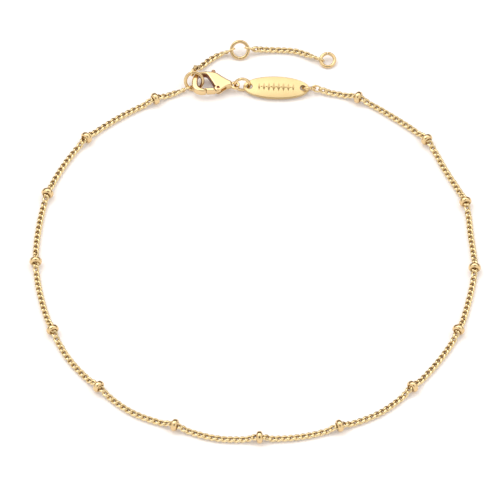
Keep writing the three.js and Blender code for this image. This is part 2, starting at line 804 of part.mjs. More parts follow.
function buildAnklet() {
  const tagRing = ringOnTable(tagRingDiameter, tagWire, tagRingTilt, 0, 0);
  const holes = addTag(ringPoint(tagRing, tagRingToTag).z);
  threadRing(tagRing, tagRingToTag, {
    x: holes[0].x + tagRingInHole.x,
    y: holes[0].y + tagRingInHole.y,
  });
  addJumpRing('tag_ring', tagRing, splits.tag);

  const chainRing = ringOnTable(chainRingDiameter, tagWire, chainRingTilt, 0, 0);
  threadRing(chainRing, chainRingToTag, holes[1]);
  addJumpRing('chain_ring', chainRing, splits.chain);

  const claspRing = addClasp(ringPoint(tagRing, tagRingToClasp));
  addJumpRing('clasp_ring', claspRing, splits.clasp);

  addMainChain(
    endLinkOn(claspRing, threads.mainOnClaspRing, beadRoute[0]),
    endLinkOn(chainRing, threads.mainOnChainRing, beadRoute.at(-1)),
  );

  const middleRing = ringOnTable(
    middleRingDiameter, ringWire, middleRingTilt, middleRingPlace.x, middleRingPlace.y,
  );
  addJumpRing('middle_ring', middleRing, splits.middle);
  const endRing = ringOnTable(
    endRingDiameter, ringWire, endRingTilt, endRingPlace.x, endRingPlace.y,
  );
  addJumpRing('end_ring', endRing, splits.end);

  addMesh('extender_chain_inner', linkRun(
    endLinkOn(claspRing, threads.innerOnClaspRing, innerExtenderRoute[0]),
    innerExtenderRoute,
    endLinkOn(middleRing, threads.innerOnMiddleRing, innerExtenderRoute.at(-1)),
  ), gold);
  addMesh('extender_chain_outer', linkRun(
    endLinkOn(middleRing, threads.outerOnMiddleRing, outerExtenderRoute[0]),
    outerExtenderRoute,
    endLinkOn(endRing, threads.outerOnEndRing, outerExtenderRoute.at(-1)),
  ), gold);
}

// The origin is on the table, under the middle of the whole anklet's box
function standOnOrigin() {
  anklet.updateMatrixWorld(true);
  const box = new THREE.Box3().setFromObject(anklet, true);
  const middle = box.getCenter(new THREE.Vector3());
  loop.position.set(-middle.x, -middle.y, -box.min.z);
}

buildAnklet();
standOnOrigin();

export default anklet;
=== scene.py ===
# Looks of a gold-tone chain anklet on a pale table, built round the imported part.
# Lengths are millimetres until a mesh is finished, and metres from then on.

import json
import math

import bmesh
import bpy
from mathutils import Matrix, Vector


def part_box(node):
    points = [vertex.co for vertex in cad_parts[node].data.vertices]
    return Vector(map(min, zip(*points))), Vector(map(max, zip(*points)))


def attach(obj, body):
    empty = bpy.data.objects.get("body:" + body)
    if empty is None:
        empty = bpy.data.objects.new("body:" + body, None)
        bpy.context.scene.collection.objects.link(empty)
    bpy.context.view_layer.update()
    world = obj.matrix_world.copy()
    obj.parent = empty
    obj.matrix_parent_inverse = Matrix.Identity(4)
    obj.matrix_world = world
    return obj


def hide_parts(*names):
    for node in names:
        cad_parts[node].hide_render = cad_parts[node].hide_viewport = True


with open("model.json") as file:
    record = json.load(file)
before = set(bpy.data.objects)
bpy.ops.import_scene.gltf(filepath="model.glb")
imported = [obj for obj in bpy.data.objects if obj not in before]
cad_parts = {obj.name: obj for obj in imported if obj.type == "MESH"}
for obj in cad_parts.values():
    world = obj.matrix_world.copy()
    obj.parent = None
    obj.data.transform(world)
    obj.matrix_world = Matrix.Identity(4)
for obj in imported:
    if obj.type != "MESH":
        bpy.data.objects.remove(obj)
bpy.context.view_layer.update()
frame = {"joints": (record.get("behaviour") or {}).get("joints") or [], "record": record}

metre = 1000.0


def say(done):
    print("stage:", done)


def boxCentre(node):
    low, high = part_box(node)
    return (low + high) / 2 * metre


# Plain meshes and objects

weld = 1e-4      # points nearer than this become one
fineWeld = 1e-5  # the same for small shapes


def newObject(name, data):
    thing = bpy.data.objects.new(name, data)
    bpy.context.scene.collection.objects.link(thing)
    return thing


def meshOf(name, points, edges=(), faces=()):
    mesh = bpy.data.meshes.new(name)
    mesh.from_pydata([tuple(p) for p in points], edges, faces)
    mesh.update()
    return mesh


def evaluatedMesh(thing):
    bpy.context.view_layer.update()
    graph = bpy.context.evaluated_depsgraph_get()
    return bpy.data.meshes.new_from_object(thing.evaluated_get(graph))


def applyModifiers(thing):
    mesh = evaluatedMesh(thing)
    thing.modifiers.clear()
    old = thing.data
    thing.data = mesh
    if old.users == 0:
        bpy.data.meshes.remove(old)
    return thing


def drop(*things):
    for thing in things:
        data = thing.data
        bpy.data.objects.remove(thing)
        if data.users == 0 and isinstance(data, bpy.types.Mesh):
            bpy.data.meshes.remove(data)


def shadeSmooth(mesh):
    mesh.polygons.foreach_set("use_smooth", [True] * len(mesh.polygons))


def cleaned(mesh, distance):
    work = bmesh.new()
    work.from_mesh(mesh)
    bmesh.ops.remove_doubles(work, verts=work.verts, dist=distance)
    bmesh.ops.recalc_face_normals(work, faces=work.faces)
    work.to_mesh(mesh)
    work.free()
    return mesh


def finishPiece(thing, body, slot, stands):
    mesh = thing.data
    mesh.materials.clear()
    mesh.materials.append(paint[slot])
    mesh.polygons.foreach_set("material_index", [0] * len(mesh.polygons))
    mesh.transform(Matrix.Scale(1 / metre, 4))
    mesh.update()
    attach(thing, body)
    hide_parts(*stands)


# Curves through points

# The place at t, from 0 to 1, between two points that are left at these slopes
def bend(start, startSlope, end, endSlope, t):
    return (
        start * (2 * t**3 - 3 * t**2 + 1) + startSlope * (t**3 - 2 * t**2 + t)
        + end * (3 * t**2 - 2 * t**3) + endSlope * (t**3 - t**2)
    )


# A line through points that stand evenly
def smoothLine(points, steps):
    out = []
    last = len(points) - 1
    for i in range(steps + 1):
        place = last * i / steps
        k = min(int(place), last - 1)
        t = place - k
        before = points[max(k - 1, 0)]
        here = points[k]
        there = points[k + 1]
        after = points[min(k + 2, last)]
        out.append(bend(here, (there - before) / 2, there, (after - here) / 2, t))
    return out


# A line through points at any distance apart, with even steps between them
def evenLine(points, stepsEach):
    ends = [2 * points[0] - points[1], *points, 2 * points[-1] - points[-2]]
    out = []
    for k in range(1, len(points)):
        a, b, c, d = ends[k - 1:k + 3]
        gaps = [max((q - p).length, 1e-6) ** 0.5 for p, q in ((a, b), (b, c), (c, d))]
        first = ((b - a) / gaps[0] - (c - a) / (gaps[0] + gaps[1]) + (c - b) / gaps[1]) * gaps[1]
        second = ((c - b) / gaps[1] - (d - b) / (gaps[1] + gaps[2]) + (d - c) / gaps[2]) * gaps[1]
        out += [bend(b, first, c, second, i / stepsEach) for i in range(stepsEach)]
    out.append(points[-1].copy())
    return out


def lengthsAlong(points):
    total = [0.0]
    for a, b in zip(points, points[1:]):
        total.append(total[-1] + (b - a).length)
    return total


def pointAt(points, at, distance):
    for i in range(1, len(points)):
        if at[i] >= distance:
            share = (distance - at[i - 1]) / max(at[i] - at[i - 1], 1e-9)
            return points[i - 1].lerp(points[i], share)
    return points[-1].copy()


def cutEnds(points, amount):
    at = lengthsAlong(points)
    finish = at[-1] - amount
    kept = [point for s, point in zip(at, points) if amount < s < finish]
    return [pointAt(points, at, amount), *kept, pointAt(points, at, finish)]


# A quarter round from a side face on to a flat one, as pairs of inset and height
def roundedEdge(side, half, rounding, steps):
    edge = []
    for i in range(steps + 1):
        angle = math.pi / 2 * (1 - i / steps if side < 0 else i / steps)
        edge.append((
            rounding * (1 - math.cos(angle)),
            side * (half - rounding * (1 - math.sin(angle))),
        ))
    return edge


def eased(share):
    share = min(max(share, 0), 1)
    return share * share * (3 - 2 * share)


# Node trees

def newTree(name, sockets):
    tree = bpy.data.node_groups.new(name, "GeometryNodeTree")
    tree.interface.new_socket("Geometry", in_out="INPUT", socket_type="NodeSocketGeometry")
    tree.interface.new_socket("Geometry", in_out="OUTPUT", socket_type="NodeSocketGeometry")
    for label, kind in sockets.items():
        tree.interface.new_socket(label, in_out="INPUT", socket_type="NodeSocket" + kind)
    return tree, tree.nodes.new("NodeGroupInput"), tree.nodes.new("NodeGroupOutput")


# A socket given for an input is linked to it, and anything else is its value
def addNode(tree, kind, wires=None, **settings):
    node = tree.nodes.new(kind)
    for setting, value in settings.items():
        setattr(node, setting, value)
    for key, value in (wires or {}).items():
        if isinstance(value, bpy.types.NodeSocket):
            tree.links.new(value, node.inputs[key])
        else:
            node.inputs[key].default_value = value
    return node


def maths(tree, operation, a, b=0.0):
    return addNode(tree, "ShaderNodeMath", {0: a, 1: b}, operation=operation).outputs[0]


def vectorFrom(tree, x, y, z):
    return addNode(tree, "ShaderNodeCombineXYZ", {0: x, 1: y, 2: z}).outputs[0]


def ranged(tree, value, given=(0.0, 1.0), wanted=(0.0, 1.0), easing="LINEAR"):
    return addNode(tree, "ShaderNodeMapRange", {
        "Value": value, "From Min": given[0], "From Max": given[1],
        "To Min": wanted[0], "To Max": wanted[1],
    }, interpolation_type=easing).outputs[0]


# Sockets 6 and 7 are a Mix node's two colours
def mixed(tree, share, first, second):
    return addNode(tree, "ShaderNodeMix", {
        0: share, 6: first, 7: second,
    }, data_type="RGBA").outputs[2]


def finishTree(tree, given, taken, geometry):
    realized = addNode(tree, "GeometryNodeRealizeInstances", {"Geometry": geometry})
    smooth = addNode(tree, "GeometryNodeSetShadeSmooth", {"Geometry": realized.outputs[0]})
    painted = addNode(tree, "GeometryNodeSetMaterial", {
        "Geometry": smooth.outputs[0], "Material": given.outputs["Material"],
    })
    tree.links.new(painted.outputs[0], taken.inputs["Geometry"])


def grow(name, base, tree, values):
    thing = newObject(name, base)
    modifier = thing.modifiers.new("shape", "NODES")
    modifier.node_group = tree
    for item in tree.interface.items_tree:
        if item.in_out == "INPUT" and item.name in values:
            modifier[item.identifier] = values[item.name]
    return applyModifiers(thing)


# Gold: pale and warm patches, and a deep brown for painted shade where an attribute marks it.
# A grain is the number of patches in a metre.

golds = {
    "chain_gold": {
        "pale": (0.89, 0.73, 0.43), "warm": (0.81, 0.63, 0.33), "deep": (0.43, 0.28, 0.12),
        "roughness": (0.08, 0.18), "grain": 900, "bump": 0.05,
    },
    "polished_gold": {
        "pale": (0.79, 0.60, 0.33), "warm": (0.71, 0.51, 0.26), "deep": (0.22, 0.08, 0.045),
        "roughness": (0.10, 0.20), "grain": 420, "bump": 0.04,
    },
    "satin_gold": {
        "pale": (0.65, 0.50, 0.26), "warm": (0.60, 0.45, 0.22), "deep": (0.46, 0.33, 0.16),
        "roughness": (0.28, 0.36), "grain": 700, "bump": 0.05,
    },
}
patches = {"detail": 3.0, "softness": 0.5}
scratches = {"finer": 6, "detail": 2.0, "depth": 0.0001}


def goldMaterial(name, look):
    material = bpy.data.materials.new(name)
    material.use_nodes = True
    tree = material.node_tree
    shader = tree.nodes["Principled BSDF"]
    shader.inputs["Metallic"].default_value = 1.0
    place = addNode(tree, "ShaderNodeTexCoord").outputs["Object"]
    broad = addNode(tree, "ShaderNodeTexNoise", {
        "Vector": place, "Scale": look["grain"],
        "Detail": patches["detail"], "Roughness": patches["softness"],
    }).outputs[0]
    colour = mixed(tree, broad, (*look["pale"], 1), (*look["warm"], 1))
    # Painted shade: the deep brown is mixed in wherever the attribute below is set
    paintedShade = addNode(tree, "ShaderNodeAttribute", attribute_name="paintedShade").outputs["Fac"]
    aged = mixed(tree, paintedShade, colour, (*look["deep"], 1))
    tree.links.new(aged, shader.inputs["Base Color"])
    gloss = ranged(tree, broad, wanted=look["roughness"])
    tree.links.new(gloss, shader.inputs["Roughness"])
    fine = addNode(tree, "ShaderNodeTexNoise", {
        "Vector": place, "Scale": look["grain"] * scratches["finer"], "Detail": scratches["detail"],
    }).outputs[0]
    bump = addNode(tree, "ShaderNodeBump", {
        "Height": fine, "Strength": look["bump"], "Distance": scratches["depth"],
    }).outputs[0]
    tree.links.new(bump, shader.inputs["Normal"])
    return material


paint = {name: goldMaterial(name, look) for name, look in golds.items()}
say("gold")


# Jump rings: each stands on the table at its tilt, with a hairline where it closes

rings = {
    "clasp_ring": {"diameter": 3.594, "wire": 0.6, "tilt": 50, "split": 330},
    "tag_ring": {"diameter": 3.0, "wire": 0.5, "tilt": 80, "split": 120},
    "chain_ring": {"diameter": 2.6, "wire": 0.5, "tilt": 127.5, "split": 70},
    "middle_ring": {"diameter": 3.5, "wire": 0.6, "tilt": 37, "split": 262},
    "end_ring": {"diameter": 3.0, "wire": 0.6, "tilt": 20, "split": 92},
}
ringMaking = {"sides": 20, "steps": 96, "splitGap": 0.05}


def ringTree():
    tree, given, taken = newTree("wire ring", {
        "Half Length": "Float", "Half Width": "Float", "Wire": "Float",
        "Split": "Float", "Split Half": "Float", "Sides": "Int", "Steps": "Int",
        "Material": "Material",
    })
    splitHalf = given.outputs["Split Half"]
    arc = addNode(tree, "GeometryNodeCurveArc", {
        "Resolution": given.outputs["Steps"], "Radius": 1.0,
        "Start Angle": maths(tree, "ADD", given.outputs["Split"], splitHalf),
        "Sweep Angle": maths(
            tree, "SUBTRACT", 2 * math.pi, maths(tree, "MULTIPLY", splitHalf, 2.0)
        ),
    }, mode="RADIUS")
    size = vectorFrom(tree, given.outputs["Half Length"], given.outputs["Half Width"], 1.0)
    sized = addNode(tree, "GeometryNodeTransform", {
        "Geometry": arc.outputs["Curve"], "Scale": size,
    })
    section = addNode(tree, "GeometryNodeCurvePrimitiveCircle", {
        "Resolution": given.outputs["Sides"],
        "Radius": maths(tree, "MULTIPLY", given.outputs["Wire"], 0.5),
    }, mode="RADIUS")
    wire = addNode(tree, "GeometryNodeCurveToMesh", {
        "Curve": sized.outputs[0], "Profile Curve": section.outputs["Curve"], "Fill Caps": True,
    })
    finishTree(tree, given, taken, wire.outputs[0])
    return tree


def ringPlaces():
    for name, ring in rings.items():
        tilt = math.radians(ring["tilt"])
        radius = (ring["diameter"] - ring["wire"]) / 2
        middle = boxCentre(name)
        ring["radius"] = radius
        ring["centre"] = Vector((middle.x, middle.y, radius * math.sin(tilt) + ring["wire"] / 2))
        ring["uphill"] = Vector((0, math.cos(tilt), math.sin(tilt)))


def ringPoint(ring, degrees):
    angle = math.radians(degrees)
    across = Vector((ring["radius"] * math.cos(angle), 0, 0))
    return ring["centre"] + across + ring["uphill"] * ring["radius"] * math.sin(angle)


def ringTangent(ring, degrees):
    angle = math.radians(degrees)
    return Vector((-math.sin(angle), 0, 0)) + ring["uphill"] * math.cos(angle)


def makeRings(tree):
    for name, ring in rings.items():
        thing = grow(name + "_wire", meshOf(name, []), tree, {
            "Half Length": ring["radius"], "Half Width": ring["radius"], "Wire": ring["wire"],
            "Split": math.radians(ring["split"]),
            "Split Half": ringMaking["splitGap"] / 2 / ring["radius"],
            "Sides": ringMaking["sides"], "Steps": ringMaking["steps"],
            "Material": paint["polished_gold"],
        })
        turn = Matrix.Rotation(math.radians(ring["tilt"]), 4, "X")
        thing.data.transform(Matrix.Translation(ring["centre"]) @ turn)
        finishPiece(thing, "anklet", "polished_gold", [name])


ringPlaces()
wireRing = ringTree()
makeRings(wireRing)
say("jump rings")


# Curb chain: links that lean over each other, threaded along a path, with a plain oval
# link at each end

chain = {
    "wire": 0.45, "pitch": 1.03, "width": 1.18, "bite": 0.08, "lean": 45, "gap": 0.02,
    "sides": 6, "steps": 14,
    "paintedShade": (0.15, 0.36),  # darkest and lightest place of the painted shade, in widths from the middle
    "settle": 1.8,           # links over which it rolls to meet an end link squarely
    "flutter": 3.0, "seed": 7,
    "mainSteps": 40, "runSteps": 24,
}
endLink = {
    "wire": 0.3, "length": 2.0, "play": 0.08, "mostSkew": 25, "lead": 0.9,
    "seamAt": 90, "seamHalf": 0.0001, "sides": 12, "steps": 40,
}
bead = {
    "diameter": 2.1, "length": 1.0, "play": 0.1, "rim": 0.42, "lip": 0.06,
    "climb": 1.8, "held": 0.6, "sides": 48, "steps": 8,
}
lean = math.radians(chain["lean"])
restHeight = chain["gap"] + (chain["wire"] + (chain["width"] - chain["wire"]) * math.sin(lean)) / 2
endHalfLength = (endLink["length"] - endLink["wire"]) / 2

threads = {
    "mainOnClaspRing": {"ring": "clasp_ring", "angle": 229, "droop": 0},
    "mainOnChainRing": {"ring": "chain_ring", "angle": -12, "droop": 0.1},
    "innerOnClaspRing": {"ring": "clasp_ring", "angle": 100, "droop": 0.1},
    "innerOnMiddleRing": {"ring": "middle_ring", "angle": 180, "droop": 0.35},
    "outerOnMiddleRing": {"ring": "middle_ring", "angle": 12, "droop": 0.35},
    "outerOnEndRing": {"ring": "end_ring", "angle": 176, "droop": 0},
}

# Each bead's place, and how far the chain that follows it bows outwards
beadRoute = [
    {"x": -16.4, "y": 32.05, "bow": 0.6},
    {"x": -28.15, "y": 23.5, "bow": 0.65},
    {"x": -34.65, "y": 11.45, "bow": 0.5},
    {"x": -36.4, "y": -3.2, "bow": 0.55},
    {"x": -33.3, "y": -17.6, "bow": 0.85},
    {"x": -25.4, "y": -29.45, "bow": 1.25},
    {"x": -12.6, "y": -37.4, "bow": 1.1},
    {"x": 1.55, "y": -39.9, "bow": 0.75},
    {"x": 14.9, "y": -37.55, "bow": 1.2},
    {"x": 27.2, "y": -29.45, "bow": 0.6},
    {"x": 35.1, "y": -17.6, "bow": 0.4},
    {"x": 38.05, "y": -4.5, "bow": 0.15},
    {"x": 36.75, "y": 9.6, "bow": 0.1},
    {"x": 30.35, "y": 23.1, "bow": 0.6},
    {"x": 18.65, "y": 32.35, "bow": 0},
]
innerRoute = [
    {"x": -8.7, "y": 39.1, "lift": 0.4},
    {"x": -7.0, "y": 41.0, "lift": 0},
    {"x": -5.3, "y": 42.2, "lift": 0},
]
outerRoute = [
    {"x": 3.5, "y": 43.3, "lift": 0},
    {"x": 7.8, "y": 42.95, "lift": 0},
]

# From the origin of these routes to the frame's
routeOrigin = Vector((beadRoute[0]["x"], beadRoute[0]["y"], bead["diameter"] / 2))
shift = boxCentre("bead_01") - routeOrigin


def onTable(place, height):
    return Vector((place["x"] + shift.x, place["y"] + shift.y, height))


# A plain oval link round a ring's wire, pointing to where its chain goes next
def endLinkOn(thread, follows):
    ring = rings[thread["ring"]]
    wirePoint = ringPoint(ring, thread["angle"])
    tangent = ringTangent(ring, thread["angle"])
    target = onTable(follows, 0)
    towards = Vector((target.x - wirePoint.x, target.y - wirePoint.y, 0)).normalized()
    towards.z = -thread["droop"]
    towards.normalize()
    square = (towards - tangent * towards.dot(tangent)).normalized()
    most = math.radians(endLink["mostSkew"])
    skew = min(max(math.asin(towards.dot(tangent)), -most), most)
    along = square * math.cos(skew) + tangent * math.sin(skew)
    room = (ring["wire"] / 2 + endLink["play"]) / math.cos(skew)
    centre = wirePoint + along * (endHalfLength - endLink["wire"] / 2 - room)
    return {
        "along": along,
        "across": tangent.cross(along).normalized(),
        "centre": centre,
        "farEnd": centre + along * endHalfLength,
        "halfWidth": (ring["wire"] + endLink["wire"]) / 2 + endLink["play"],
    }


def rollOf(across, along):
    side = Vector((-along.y, along.x, 0)).normalized()
    return math.atan2(across.dot(along.cross(side)), across.dot(side))


# The chain's roll where it meets an end link squarely, within a quarter turn
def squareRoll(link, along, linkEnd):
    square = rollOf(link["across"], along) + math.pi / 2 - linkEnd
    return square - math.pi * round(square / math.pi)


def chainTree():
    tree, given, taken = newTree("curb chain", {
        "Pitch": "Float", "Wire": "Float", "Width": "Float", "Bite": "Float", "Lean": "Float",
        "Dark At": "Float", "Light At": "Float", "Flutter": "Float", "Seed": "Int",
        "Sides": "Int", "Steps": "Int", "Material": "Material",
    })
    wire = given.outputs["Wire"]
    width = given.outputs["Width"]

    # A whole number of links between the two end links
    overlap = maths(tree, "SUBTRACT", wire, given.outputs["Bite"])
    path = addNode(tree, "GeometryNodeMeshToCurve", {"Mesh": given.outputs["Geometry"]}).outputs[0]
    level = addNode(tree, "GeometryNodeSetCurveNormal", {"Curve": path}, mode="Z_UP").outputs[0]
    length = addNode(tree, "GeometryNodeCurveLength", {"Curve": level}).outputs[0]
    inside = maths(tree, "ADD", length, overlap)
    count = maths(tree, "ROUND", maths(tree, "DIVIDE", inside, given.outputs["Pitch"]))
    pitch = maths(tree, "DIVIDE", inside, count)
    first = maths(tree, "MULTIPLY", maths(tree, "SUBTRACT", pitch, overlap), 0.5)
    trimmed = addNode(tree, "GeometryNodeTrimCurve", mode="LENGTH")
    tree.links.new(level, trimmed.inputs["Curve"])
    ends = [s for s in trimmed.inputs if s.name in ("Start", "End") and s.enabled]
    tree.links.new(first, ends[0])
    tree.links.new(maths(tree, "SUBTRACT", length, first), ends[1])
    places = addNode(tree, "GeometryNodeCurveToPoints", {
        "Curve": trimmed.outputs[0], "Count": count,
    }, mode="COUNT")

    # One link, an oval that twists along its length
    circle = addNode(tree, "GeometryNodeCurvePrimitiveCircle", {
        "Resolution": given.outputs["Steps"], "Radius": 1.0,
    }, mode="RADIUS")
    place = addNode(tree, "GeometryNodeInputPosition").outputs[0]
    apart = addNode(tree, "ShaderNodeSeparateXYZ", {0: place})
    halfLength = maths(tree, "MULTIPLY", maths(tree, "ADD", pitch, overlap), 0.5)
    along = maths(tree, "MULTIPLY", apart.outputs[0], halfLength)
    halfWidth = maths(tree, "MULTIPLY", maths(tree, "SUBTRACT", width, wire), 0.5)
    out = maths(tree, "MULTIPLY", apart.outputs[1], halfWidth)
    roll = maths(
        tree, "MULTIPLY", maths(tree, "DIVIDE", along, pitch),
        maths(tree, "MULTIPLY", given.outputs["Lean"], -2.0),
    )
    bent = addNode(tree, "GeometryNodeSetPosition", {
        "Geometry": circle.outputs["Curve"],
        "Position": vectorFrom(
            tree, maths(tree, "MULTIPLY", out, maths(tree, "COSINE", roll)),
            maths(tree, "MULTIPLY", out, maths(tree, "SINE", roll)), along,
        ),
    })
    section = addNode(tree, "GeometryNodeCurvePrimitiveCircle", {
        "Resolution": given.outputs["Sides"], "Radius": maths(tree, "MULTIPLY", wire, 0.5),
    }, mode="RADIUS")
    link = addNode(tree, "GeometryNodeCurveToMesh", {
        "Curve": bent.outputs[0], "Profile Curve": section.outputs["Curve"],
    })
    # Painted shade: the wire darkens towards the chain's middle line, where the links shade each
    # other
    surface = addNode(tree, "ShaderNodeSeparateXYZ", {
        0: addNode(tree, "GeometryNodeInputPosition").outputs[0],
    })
    squares = [maths(tree, "POWER", surface.outputs[axis], 2.0) for axis in (0, 1)]
    fromAxis = maths(tree, "SQRT", maths(tree, "ADD", *squares))
    span = [maths(tree, "MULTIPLY", width, given.outputs[edge]) for edge in ("Dark At", "Light At")]
    paintedShade = ranged(tree, fromAxis, given=span, wanted=(1.0, 0.0))
    marked = addNode(tree, "GeometryNodeStoreNamedAttribute", {
        "Geometry": link.outputs[0], "Name": "paintedShade", "Value": paintedShade,
    }, data_type="FLOAT", domain="POINT")

    # The links in their places, each a little off the true roll
    rollHere = addNode(tree, "GeometryNodeInputNamedAttribute", {"Name": "roll"}, data_type="FLOAT")
    flutter = given.outputs["Flutter"]
    random = addNode(tree, "FunctionNodeRandomValue", {
        2: maths(tree, "MULTIPLY", flutter, -1.0), 3: flutter, "Seed": given.outputs["Seed"],
    }, data_type="FLOAT").outputs[1]
    turn = addNode(tree, "FunctionNodeAxisAngleToRotation", {
        "Axis": (0, 0, 1), "Angle": maths(tree, "ADD", rollHere.outputs["Attribute"], random),
    })
    turned = addNode(tree, "FunctionNodeRotateRotation", {
        0: places.outputs["Rotation"], 1: turn.outputs[0],
    }, rotation_space="LOCAL")
    threaded = addNode(tree, "GeometryNodeInstanceOnPoints", {
        "Points": places.outputs["Points"], "Instance": marked.outputs[0],
        "Rotation": turned.outputs[0],
    })
    finishTree(tree, given, taken, threaded.outputs[0])
    return tree


def pathMesh(name, points, startRoll, finishRoll):
    at = lengthsAlong(points)
    fade = chain["settle"] * chain["pitch"]
    rolls = [
        startRoll * (1 - eased(s / fade)) + finishRoll * (1 - eased((at[-1] - s) / fade))
        for s in at
    ]
    halfWidth = (chain["width"] - chain["wire"]) / 2
    for point, roll in zip(points, rolls):
        clear = chain["gap"] + chain["wire"] / 2 + halfWidth * abs(math.sin(roll))
        point.z = max(point.z, clear)
    mesh = meshOf(name, points, [(i, i + 1) for i in range(len(points) - 1)])
    mesh.attributes.new("roll", "FLOAT", "POINT").data.foreach_set("value", rolls)
    return mesh


def endLinkObject(name, link):
    thing = grow(name, meshOf(name, []), wireRing, {
        "Half Length": endHalfLength, "Half Width": link["halfWidth"], "Wire": endLink["wire"],
        "Split": math.radians(endLink["seamAt"]), "Split Half": endLink["seamHalf"],
        "Sides": endLink["sides"], "Steps": endLink["steps"], "Material": paint["chain_gold"],
    })
    flat = link["along"].cross(link["across"])
    turn = Matrix((link["along"], link["across"], flat)).transposed().to_4x4()
    thing.data.transform(Matrix.Translation(link["centre"]) @ turn)
    return thing


def joinInto(thing, *others):
    work = bmesh.new()
    for part in (thing, *others):
        work.from_mesh(part.data)
    work.to_mesh(thing.data)
    work.free()
    drop(*others)


def makeChain(name, tree, points, startLink, finishLink, stands):
    startRoll = squareRoll(startLink, points[1] - points[0], lean)
    finishRoll = squareRoll(finishLink, points[-1] - points[-2], -lean)
    path = pathMesh(name, points, startRoll, finishRoll)
    thing = grow(name, path, tree, {
        "Pitch": chain["pitch"], "Wire": chain["wire"], "Width": chain["width"],
        "Bite": chain["bite"], "Lean": lean,
        "Dark At": chain["paintedShade"][0], "Light At": chain["paintedShade"][1],
        "Flutter": math.radians(chain["flutter"]), "Seed": chain["seed"],
        "Sides": chain["sides"], "Steps": chain["steps"], "Material": paint["chain_gold"],
    })
    joinInto(
        thing, endLinkObject(name + "_start", startLink), endLinkObject(name + "_end", finishLink)
    )
    finishPiece(thing, "anklet", "chain_gold", stands)


# The chain lies on the table, and climbs to each bead's bore and to its end links
def mainPath(startLink, finishLink):
    points = [Vector((startLink["farEnd"].x, startLink["farEnd"].y, 0))]
    for here, there in zip(beadRoute, beadRoute[1:] + [None]):
        points.append(onTable(here, 0))
        if there:
            along = Vector((there["x"] - here["x"], there["y"] - here["y"], 0)).normalized()
            middle = (onTable(here, 0) + onTable(there, 0)) / 2
            points.append(middle + Vector((along.y, -along.x, 0)) * here["bow"])
    points.append(Vector((finishLink["farEnd"].x, finishLink["farEnd"].y, 0)))
    line = evenLine(points, chain["mainSteps"])
    at = lengthsAlong(line)
    held = bead["held"] * bead["length"]
    atBeads = [chain["mainSteps"] * (2 * i + 1) for i in range(len(beadRoute))]
    for s, point in zip(at, line):
        lifted = max(1 - eased((abs(s - at[k]) - held) / bead["climb"]) for k in atBeads)
        point.z = restHeight + (bead["diameter"] / 2 - restHeight) * lifted
        for fromEnd, link in ((s, startLink), (at[-1] - s, finishLink)):
            share = 1 - eased(fromEnd / bead["climb"])
            point.z += (link["farEnd"].z - point.z) * share
    return line, [line[k + 1] - line[k - 1] for k in atBeads]


def runPath(startLink, route, finishLink):
    points = [startLink["centre"], startLink["centre"] + startLink["along"] * endLink["lead"]]
    points += [onTable(place, restHeight + place["lift"]) for place in route]
    points += [finishLink["centre"] + finishLink["along"] * endLink["lead"], finishLink["centre"]]
    return cutEnds(evenLine(points, chain["runSteps"]), endHalfLength)


curbChain = chainTree()
mainStart = endLinkOn(threads["mainOnClaspRing"], beadRoute[0])
mainFinish = endLinkOn(threads["mainOnChainRing"], beadRoute[-1])
mainLine, beadHeadings = mainPath(mainStart, mainFinish)
makeChain("main_chain_links", curbChain, mainLine, mainStart, mainFinish, ["main_chain"])
innerStart = endLinkOn(threads["innerOnClaspRing"], innerRoute[0])
innerFinish = endLinkOn(threads["innerOnMiddleRing"], innerRoute[-1])
makeChain(
    "inner_extender_links", curbChain, runPath(innerStart, innerRoute, innerFinish),
    innerStart, innerFinish, ["extender_chain_inner"],
)
outerStart = endLinkOn(threads["outerOnMiddleRing"], outerRoute[0])
outerFinish = endLinkOn(threads["outerOnEndRing"], outerRoute[-1])
makeChain(
    "outer_extender_links", curbChain, runPath(outerStart, outerRoute, outerFinish),
    outerStart, outerFinish, ["extender_chain_outer"],
)
say("chains")


# Beads: one turned shape set on a point for each

def beadTree():
    tree, given, taken = newTree("rondelle beads", {
        "Sides": "Int", "Radius": "Float", "Material": "Material",
    })
    lathe = addNode(tree, "GeometryNodeCurvePrimitiveCircle", {
        "Resolution": given.outputs["Sides"], "Radius": given.outputs["Radius"],
    }, mode="RADIUS")
    isPlace = addNode(tree, "GeometryNodeInputNamedAttribute", {"Name": "bead"}, data_type="FLOAT")
    parts = addNode(tree, "GeometryNodeSeparateGeometry", {
        "Geometry": given.outputs["Geometry"],
        "Selection": maths(tree, "GREATER_THAN", isPlace.outputs["Attribute"], 0.5),
    }, domain="POINT")
    profile = addNode(tree, "GeometryNodeMeshToCurve", {"Mesh": parts.outputs["Inverted"]})
    turned = addNode(tree, "GeometryNodeCurveToMesh", {
        "Curve": lathe.outputs["Curve"], "Profile Curve": profile.outputs[0],
    })
    heading = addNode(
        tree, "GeometryNodeInputNamedAttribute", {"Name": "heading"}, data_type="FLOAT_VECTOR"
    )
    facing = addNode(tree, "FunctionNodeAlignRotationToVector", {
        "Vector": heading.outputs["Attribute"],
    }, axis="Z")
    placed = addNode(tree, "GeometryNodeInstanceOnPoints", {
        "Points": parts.outputs["Selection"], "Instance": turned.outputs[0],
        "Rotation": facing.outputs[0],
    })
    finishTree(tree, given, taken, placed.outputs[0])
    return tree


def beadProfile():
    radius = bead["diameter"] / 2
    half = bead["length"] / 2
    bore = chain["width"] / 2 + bead["play"]
    lip = bead["lip"]
    points = [(bore, -half + lip), (bore + lip, -half)]
    for side in (-1, 1):
        edge = roundedEdge(side, half, bead["rim"], bead["steps"])
        points += [(radius - inset, height) for inset, height in edge]
    points += [(bore + lip, half), (bore, half - lip)]
    return points


